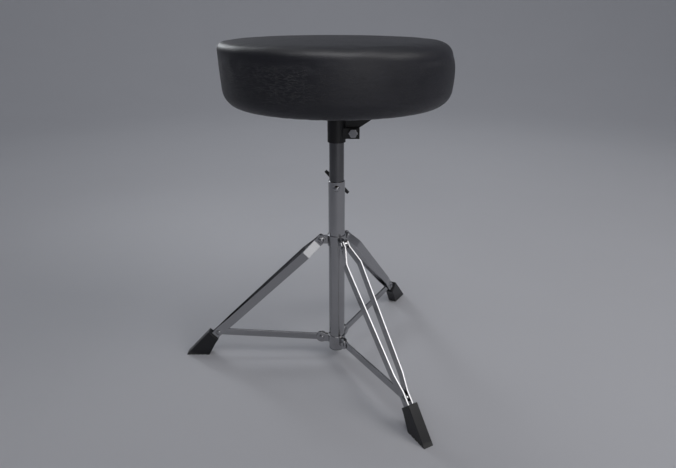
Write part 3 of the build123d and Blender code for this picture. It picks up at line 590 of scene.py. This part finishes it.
@dataclass
class Cushion:
    """The padded seat: foam on a board, under one vinyl cover stapled beneath it.

    The cover is pulled tight on one side, where its rim is crisp, and slacker on the other,
    where the rim is rounder and the side bellies out.
    """

    finishes: Finishes
    steps: int = 224
    crown: float = 3.0 * MM
    crisp_rim: float = 9.5 * MM
    soft_rim: float = 19.0 * MM
    slack_top: float = 3.2 * MM
    waist: float = 3.8 * MM
    crisp_belly: float = 0.5 * MM
    soft_belly: float = 1.7 * MM
    soft_hem: float = 1.6 * MM
    hem_round: float = 24.0 * MM
    hem_width: float = 26.0 * MM
    board_clear: float = 0.3 * MM
    flange: float = 1.3 * MM
    slack: float = 0.6 * MM
    swell_cap: float = 1.2 * MM
    pleats: int = 42
    pleat_depth: float = 0.9 * MM
    frames: int = 20
    crown_steps: int = 15
    rim_steps: int = 8
    side_steps: int = 11
    hem_steps: int = 9
    under_steps: int = 6
    flange_steps: int = 3
    lid_steps: int = 5
    fill: float = 0.95
    pressure: float = 4.0
    tension: float = 25.0
    compression: float = 12.0
    bending: float = 1.2
    cloth_mass: float = 0.4
    cloth_quality: int = 5

    def __post_init__(self) -> None:
        """Reads the seat's extent from the CAD."""
        low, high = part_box("seat_cover")
        self.radius = high[0]
        self.top, self.bottom = high[2], low[2]
        board_low, board_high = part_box("seat_board")
        self.board_r, self.board_top = board_high[0], board_high[2]
        self.opening_r = self.board_r - self.hem_width

    def softness(self, azimuth: float) -> float:
        """0 where the cover is tight, at -X, and 1 where it is slack, at +X."""
        turn = 0.5 + 0.5 * math.cos(azimuth)
        return turn * turn * (3.0 - 2.0 * turn)

    def profile(self, azimuth: float) -> list[tuple[float, float]]:
        """The cushion's section at one azimuth.

        Args:
            azimuth: The section's direction from the seat's centre.

        Returns:
            Radius and height of its points, from the crown round to the centre of the recess.
        """
        soft = self.softness(azimuth)
        rim = self.crisp_rim + (self.soft_rim - self.crisp_rim) * soft
        edge = self.radius - self.slack - self.slack_top * soft
        hem = self.radius - self.slack - self.waist + self.soft_hem * soft
        belly = self.crisp_belly + (self.soft_belly - self.crisp_belly) * soft
        top, bottom = self.top - self.slack, self.bottom
        shoulder = top - self.crown
        points: list[tuple[float, float]] = []
        for i in range(self.crown_steps):
            share = i / self.crown_steps
            points.append((share * (edge - rim), shoulder + self.crown * (1 - share**2)))
        for i in range(self.rim_steps + 1):
            turn = math.pi / 2 * i / self.rim_steps
            x = edge - rim + rim * math.sin(turn)
            points.append((x, shoulder - rim + rim * math.cos(turn)))
        hem_top = bottom + self.hem_round
        for i in range(1, self.side_steps):
            share = i / self.side_steps
            x = edge + (hem - edge) * share + belly * math.sin(math.pi * share)
            points.append((x, shoulder - rim + (hem_top - shoulder + rim) * share))
        for i in range(self.hem_steps + 1):
            turn = math.pi / 2 * i / self.hem_steps
            x = self.board_r + (hem - self.board_r) * math.cos(turn)
            points.append((x, hem_top - self.hem_round * math.sin(turn)))
        for i in range(1, self.under_steps + 1):
            points.append((self.board_r - self.hem_width * i / self.under_steps, bottom))
        inner = bottom + self.flange
        points.append((self.opening_r, inner))
        reach = self.board_r + self.board_clear
        for i in range(1, self.flange_steps + 1):
            out = self.opening_r + (reach - self.opening_r) * i / self.flange_steps
            points.append((out, inner))
        lid = self.board_top + self.board_clear
        points += [(reach, (inner + lid) / 2), (reach, lid)]
        for i in range(1, self.lid_steps + 1):
            points.append((reach * (1 - i / self.lid_steps), lid))
        return points

    def shell(self) -> bmesh.types.BMesh:
        """The closed cushion, spun from its section and then shaped round the seat."""
        bm = bmesh.new()
        row = bm.verts.layers.int.new("row")
        previous = None
        for index, (x, z) in enumerate(self.profile(0.0)):
            vert = bm.verts.new((x, 0.0, z))
            vert[row] = index
            if previous is not None:
                bm.edges.new((previous, vert))
            previous = vert
        spin_round(bm, self.steps)
        sections: dict[int, list[tuple[float, float]]] = {}
        for vert in bm.verts:
            azimuth = math.atan2(vert.co.y, vert.co.x)
            step = round(azimuth / (2 * math.pi) * self.steps)
            if step not in sections:
                sections[step] = self.profile(azimuth)
            x, z = sections[step][vert[row]]
            vert.co = (x * math.cos(azimuth), x * math.sin(azimuth), z)
        closed_outwards(bm, WIDE_GAP)
        return bm

    def inflate(self, piece: bpy.types.Object) -> None:
        """Swells the cover with a cloth simulation and keeps a capped part of the move.

        Args:
            piece: The cushion, whose hem and recess stay where they are.
        """
        held = piece.vertex_groups.new(name="held")
        start = [vert.co.copy() for vert in piece.data.vertices]
        for index, co in enumerate(start):
            out = math.hypot(co.x, co.y)
            hem = co.z < self.bottom + 3 * self.flange
            recess = out < self.board_r + MM and co.z < self.board_top + MM
            if hem or recess:
                held.add([index], 1.0, "REPLACE")
        cloth = piece.modifiers.new("swell", "CLOTH")
        cloth.settings.quality = self.cloth_quality
        cloth.settings.mass = self.cloth_mass
        cloth.settings.tension_stiffness = self.tension
        cloth.settings.compression_stiffness = self.compression
        cloth.settings.bending_stiffness = self.bending
        cloth.settings.use_pressure = True
        cloth.settings.uniform_pressure_force = self.pressure
        cloth.settings.vertex_group_mass = "held"
        cloth.settings.effector_weights.gravity = 0.0
        cloth.collision_settings.use_collision = False
        cloth.point_cache.frame_start = 1
        cloth.point_cache.frame_end = self.frames
        scene = bpy.context.scene
        for number in range(1, self.frames + 1):
            scene.frame_set(number)
        bake_modifiers(piece)
        scene.frame_set(1)
        for vert, before in zip(piece.data.vertices, start):
            move = vert.co - before
            if move.length > self.swell_cap:
                move.length = self.swell_cap
            vert.co = before + move

    def pleat(self, piece: bpy.types.Object) -> None:
        """Gathers the cover beneath the seat, where it is drawn in to its staples.

        Args:
            piece: The cushion.
        """
        inner, outer = self.opening_r, self.board_r + self.hem_round * 0.3
        for vert in piece.data.vertices:
            x, y, z = vert.co
            out = math.hypot(x, y)
            if z > self.bottom + self.hem_round * 0.4 or not inner + 4 * MM < out < outer:
                continue
            if z > self.bottom + 0.5 * self.flange and out < self.board_r:
                continue
            share = (out - inner) / (outer - inner)
            fade = math.sin(math.pi * share) ** 0.7
            azimuth = math.atan2(y, x)
            wander = 0.5 * math.sin(3 * azimuth + 1.3) + 0.35 * math.sin(7 * azimuth)
            fold = 0.5 + 0.5 * math.cos(self.pleats * azimuth + wander * 2.2)
            vert.co.z += self.pleat_depth * fade * fold**3

    def build(self) -> bpy.types.Object:
        """Makes and dresses the cushion.

        Returns:
            The finished piece.
        """
        piece = new_piece("seat_cushion", self.shell(), 60.0)
        self.inflate(piece)
        smooth = piece.modifiers.new("smooth", "SUBSURF")
        smooth.levels = smooth.render_levels = 1
        bake_modifiers(piece)
        self.pleat(piece)
        piece.data.shade_smooth()
        self.finishes.dress(piece, "vinyl")
        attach(piece, "seat")
        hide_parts("seat_cover", "seat_foam")
        log.info("seat cushion: %d vertices", len(piece.data.vertices))
        return piece


# ------------------------------------------------------------------- hard pieces


@dataclass
class Hardware:
    """The metal, rubber and plastic pieces, with their edges broken as a real part's are."""

    finishes: Finishes
    edge_break: dict[str, float] = field(
        default_factory=lambda: {
            "base_tube": 0.3, "seat_post": 0.3, "upper_collar": 1.0, "lower_collar": 0.9,
            "seat_bracket": 0.6, "clamp_bolt": 0.35, "clamp_nut": 0.35, "lock_handle": 0.3,
            "strip_left": 0.4, "strip_right": 0.4, "bar": 0.4,
            "saddle_washer": 0.25, "height_bolt": 0.35, "pivot_nut": 0.35,
        }
    )
    turn_degrees: float = 28.0
    segments: int = 2
    body_names: dict[str, str] = field(default_factory=dict)

    def __post_init__(self) -> None:
        """Finds the body that each node rides on."""
        for body, nodes in frame["record"]["behaviour"]["bodies"].items():
            for node in nodes:
                self.body_names[node] = body

    def width_of(self, node: str) -> float | None:
        """How far a node's edges are broken, in metres, or None where they stay as cut."""
        for ending, width in self.edge_break.items():
            if node == ending or node.startswith(("leg_", "brace_")) and node.endswith(ending):
                return width * MM
        return None

    def broken(self, node: bpy.types.Object, width: float) -> bpy.types.Object:
        """A copy of a CAD node with small rounds on its sharp edges.

        Args:
            node: The CAD node.
            width: The rounds' width.

        Returns:
            The new piece.
        """
        bm = bmesh.new()
        bm.from_mesh(node.data)
        bmesh.ops.remove_doubles(bm, verts=bm.verts[:], dist=MERGE_GAP)
        bmesh.ops.dissolve_limit(
            bm, angle_limit=math.radians(FLAT_DEGREES), use_dissolve_boundaries=False,
            verts=bm.verts[:], edges=bm.edges[:],
        )
        limit = math.radians(self.turn_degrees)
        sharp = [e for e in bm.edges if len(e.link_faces) == 2 and e.calc_face_angle(0.0) > limit]
        bevel_edges(bm, sharp, width, self.segments)
        bmesh.ops.remove_doubles(bm, verts=bm.verts[:], dist=MERGE_GAP)
        piece = new_piece(f"{node.name}_finished", bm, 50.0)
        flat_faces_true(piece)
        return piece

    def build(self) -> None:
        """Makes the softened pieces and dresses the CAD nodes that stay."""
        for name, node in frame["nodes"].items():
            if name in ("seat_cover", "seat_foam") or name.endswith("_foot"):
                continue
            slot = self.finishes.slot_of(node)
            width = self.width_of(name)
            if width is None:
                self.finishes.dress(node, slot)
                log.info("%s: %s", name, slot)
                continue
            piece = self.broken(node, width)
            self.finishes.dress(piece, slot)
            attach(piece, self.body_names[name])
            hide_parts(name)
            log.info("%s: %s, edges broken %.2f mm", name, slot, width / MM)


@dataclass
class Boot:
    """A rubber boot on a leg's end: a bevelled wedge with a lipped mouth and sole grooves."""

    finishes: Finishes
    pivot: tuple[float, float] = (24.78 * MM, 211.75 * MM)
    lean: float = math.radians(45.9)
    start: float = 253.4 * MM
    inside: float = 8.9 * MM
    outside: float = 12.4 * MM
    knee: tuple[float, float] = (260.5 * MM, 10.0 * MM)
    heel: float = 25.9 * MM
    toe: float = 13.0 * MM
    half_width: float = 7.7 * MM
    round_off: float = 0.9 * MM
    round_segments: int = 3
    sole_level: float = 0.01 * MM
    corner_degrees: float = 5.0
    lip: float = 1.1 * MM
    lip_depth: float = 0.8 * MM
    grooves: int = 4
    groove_width: float = 2.0 * MM
    groove_depth: float = 1.2 * MM

    def outline(self) -> list[tuple[float, float]]:
        """The boot's side outline, from the mouth's inner corner round by the sole.

        Returns:
            Distance from the column and height of each corner.
        """
        sin, cos = math.sin(self.lean), math.cos(self.lean)
        floor_r = self.pivot[0] + self.pivot[1] * sin / cos

        def on_leg(along: float, out: float) -> tuple[float, float]:
            """A point along the leg and out of its upper side."""
            return (
                self.pivot[0] + along * sin + out * cos,
                self.pivot[1] - along * cos + out * sin,
            )

        sole_start, sole = floor_r - self.heel, self.heel + self.toe
        points = [on_leg(self.start, -self.inside), on_leg(self.knee[0], -self.knee[1])]
        points.append((sole_start, 0.0))
        pitch = sole / (self.grooves + 1)
        for i in range(1, self.grooves + 1):
            middle = sole_start + i * pitch
            for x, z in ((-1, 0), (-1, 1), (1, 1), (1, 0)):
                points.append((middle + x * self.groove_width / 2, z * self.groove_depth))
        points.append((sole_start + sole, 0.0))
        points.append(on_leg(self.start, self.outside))
        return points

    def build(self, number: int) -> bpy.types.Object:
        """Makes and dresses one leg's boot.

        Args:
            number: The leg's number.

        Returns:
            The finished piece.
        """
        low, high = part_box(f"leg_{number}_foot")
        azimuth = math.atan2((low.y + high.y) / 2, (low.x + high.x) / 2)
        bm = bmesh.new()
        verts = [bm.verts.new((x, -self.half_width, z)) for x, z in self.outline()]
        face = bm.faces.new(verts)
        grown = bmesh.ops.extrude_face_region(bm, geom=[face])
        far = [item for item in grown["geom"] if isinstance(item, bmesh.types.BMVert)]
        bmesh.ops.translate(bm, verts=far, vec=(0, 2 * self.half_width, 0))
        closed_outwards(bm)
        groove_top = self.groove_depth * 1.01
        sole_low = self.sole_level
        hard = [
            edge for edge in bm.edges
            if edge.calc_face_angle(0.0) > math.radians(self.corner_degrees)
            and not all(vert.co.z < groove_top for vert in edge.verts)
        ]
        hard += [
            edge for edge in bm.edges
            if all(vert.co.z < sole_low for vert in edge.verts)
            and abs(edge.verts[0].co.x - edge.verts[1].co.x) < sole_low
            and not (self.sole_inner() < edge.verts[0].co.x < self.sole_outer())
        ]
        bevel_edges(bm, hard, self.round_off, self.round_segments)
        along = Vector((math.sin(self.lean), 0.0, -math.cos(self.lean)))
        mouth = min(bm.faces, key=lambda item: round(item.normal.dot(along), 3) - item.calc_area())
        bmesh.ops.inset_region(
            bm, faces=[mouth], thickness=self.lip, depth=0.0, use_even_offset=True
        )
        bmesh.ops.inset_region(
            bm, faces=[mouth], thickness=self.lip * 0.3, depth=-self.lip_depth,
            use_even_offset=True,
        )
        turn = Matrix.Rotation(azimuth, 3, "Z")
        bmesh.ops.rotate(bm, verts=bm.verts[:], cent=(0, 0, 0), matrix=turn)
        piece = new_piece(f"leg_{number}_boot", bm, 40.0)
        flat_faces_true(piece)
        self.finishes.dress(piece, "rubber")
        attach(piece, f"leg_{number}")
        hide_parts(f"leg_{number}_foot")
        log.info("%s: %d vertices", piece.name, len(piece.data.vertices))
        return piece

    def sole_inner(self) -> float:
        """Distance from the column just past the sole's heel edge."""
        return self.pivot[0] + self.pivot[1] * math.tan(self.lean) - self.heel + self.groove_width

    def sole_outer(self) -> float:
        """Distance from the column just short of the sole's toe edge."""
        return self.pivot[0] + self.pivot[1] * math.tan(self.lean) + self.toe - self.groove_width


# ------------------------------------------------------------------------ studio


@dataclass(frozen=True)
class Softbox:
    """A square studio light aimed at the throne."""

    name: str
    toward: tuple[float, float, float]
    distance: float
    side: float
    power: float
    colour: tuple[float, float, float] = (1.0, 1.0, 1.0)
    aim: tuple[float, float, float] = (0.0, 0.0, 0.22)
    spread: float = 180.0
    gloss_only: bool = False

    def build(self) -> None:
        """Makes the light."""
        lamp = bpy.data.lights.new(self.name, "AREA")
        lamp.shape = "SQUARE"
        lamp.size = self.side
        lamp.spread = math.radians(self.spread)
        lamp.energy = self.power
        lamp.color = self.colour
        holder = bpy.data.objects.new(self.name, lamp)
        way = Vector(self.toward).normalized()
        holder.location = Vector(self.aim) + way * self.distance
        holder.rotation_euler = way.to_track_quat("Z", "Y").to_euler()
        holder.visible_camera = False
        holder.visible_diffuse = not self.gloss_only
        bpy.context.scene.collection.objects.link(holder)


@dataclass
class Studio:
    """Round cove, lights, surroundings and camera."""

    flat_radius: float = 2.4
    cove_radius: float = 2.2
    wall_height: float = 1.2
    cove_steps: int = 12
    round_steps: int = 96
    floor_colour: tuple[float, float, float] = (0.67, 0.67, 0.705)
    floor_roughness: float = 0.85
    mottle: float = 0.02
    around: Colour = (0.108, 0.115, 0.127, 1.0)
    lens: float = 30.05
    sensor: float = 36.0
    eye: tuple[float, float, float] = (0.0144, -0.8223, 0.551)
    pitch_down: float = 0.382
    yaw: float = 0.015
    lights: tuple[Softbox, ...] = (
        Softbox("key", (0.68, -0.27, 0.68), 2.4, 1.15, 12.0, (1.0, 0.985, 0.97)),
        Softbox("fill", (-0.51, -0.32, 0.8), 2.4, 1.0, 0.9, (0.93, 0.965, 1.0)),
        Softbox("front", (0.40, -0.91, 0.19), 2.3, 1.25, 2.0, spread=110.0),
        Softbox("rim", (-0.55, 0.72, 0.42), 2.1, 0.6, 0.6, (0.93, 0.97, 1.0), spread=50.0),
        Softbox("band", (-0.6, 0.5, 0.62), 2.1, 1.5, 4.6, (0.95, 0.98, 1.0), gloss_only=True),
        Softbox("overhead", (0.1, -0.32, 0.94), 2.3, 0.9, 4.0),
        Softbox("sparkle", (0.0, -0.42, 0.9), 2.0, 1.3, 15.0, gloss_only=True),
        Softbox(
            "backdrop", (0.0, -2.4, 1.9), 3.0, 1.6, 14.0, (0.95, 0.98, 1.0),
            aim=(0.0, 3.4, 0.5),
        ),
    )

    def floor_material(self) -> bpy.types.Material:
        """A plain pale floor with a barely visible mottle."""
        graph = Graph("studio_floor")
        mottle = graph.noise(graph.place(), 3.0, 3.0)
        dark = tuple((1 - self.mottle) * part for part in self.floor_colour) + (1.0,)
        light = tuple((1 + self.mottle) * part for part in self.floor_colour) + (1.0,)
        shade = graph.blend(mottle, dark, light)
        return graph.finish(
            Base_Color=shade, Roughness=self.floor_roughness, Specular_IOR_Level=0.2
        )

    def floor(self) -> None:
        """Makes the floor, which sweeps up into a wall all round."""
        bm = bmesh.new()
        corners = [(0.0, 0.0), (self.flat_radius, 0.0)]
        for i in range(1, self.cove_steps + 1):
            turn = math.pi / 2 * i / self.cove_steps
            out = self.flat_radius + self.cove_radius * math.sin(turn)
            corners.append((out, self.cove_radius * (1 - math.cos(turn))))
        corners.append((corners[-1][0], corners[-1][1] + self.wall_height))
        verts = [bm.verts.new((x, 0.0, z)) for x, z in corners]
        for pair in zip(verts, verts[1:]):
            bm.edges.new(pair)
        spin_round(bm, self.round_steps)
        bmesh.ops.remove_doubles(bm, verts=bm.verts[:], dist=WIDE_GAP)
        floor = new_piece("studio_floor", bm)
        floor.data.materials.append(self.floor_material())

    def surroundings(self) -> None:
        """Sets the even light that comes from all round."""
        scene = bpy.context.scene
        world = scene.world or bpy.data.worlds.new("studio")
        scene.world = world
        world.use_nodes = True
        background = world.node_tree.nodes.get("Background")
        background.inputs["Color"].default_value = self.around
        background.inputs["Strength"].default_value = 1.0
        scene.view_settings.view_transform = "Standard"

    def camera(self) -> None:
        """Makes the camera that looks slightly down at the throne."""
        lens = bpy.data.cameras.new("camera")
        lens.lens = self.lens
        lens.sensor_width = self.sensor
        lens.clip_start = 0.01
        holder = bpy.data.objects.new("camera", lens)
        holder.location = self.eye
        holder.rotation_euler = (math.pi / 2 - self.pitch_down, 0.0, self.yaw)
        bpy.context.scene.collection.objects.link(holder)
        bpy.context.scene.camera = holder

    def build(self) -> None:
        """Makes everything round the throne."""
        self.surroundings()
        self.floor()
        for light in self.lights:
            light.build()
        self.camera()


def main() -> None:
    """Builds the throne and its studio."""
    logging.basicConfig(level=logging.INFO, format="%(message)s")
    finishes = Finishes()
    Studio().build()
    Cushion(finishes).build()
    boot = Boot(finishes)
    for number in (1, 2, 3):
        boot.build(number)
    Hardware(finishes).build()


if __name__ == "__main__":
    main()
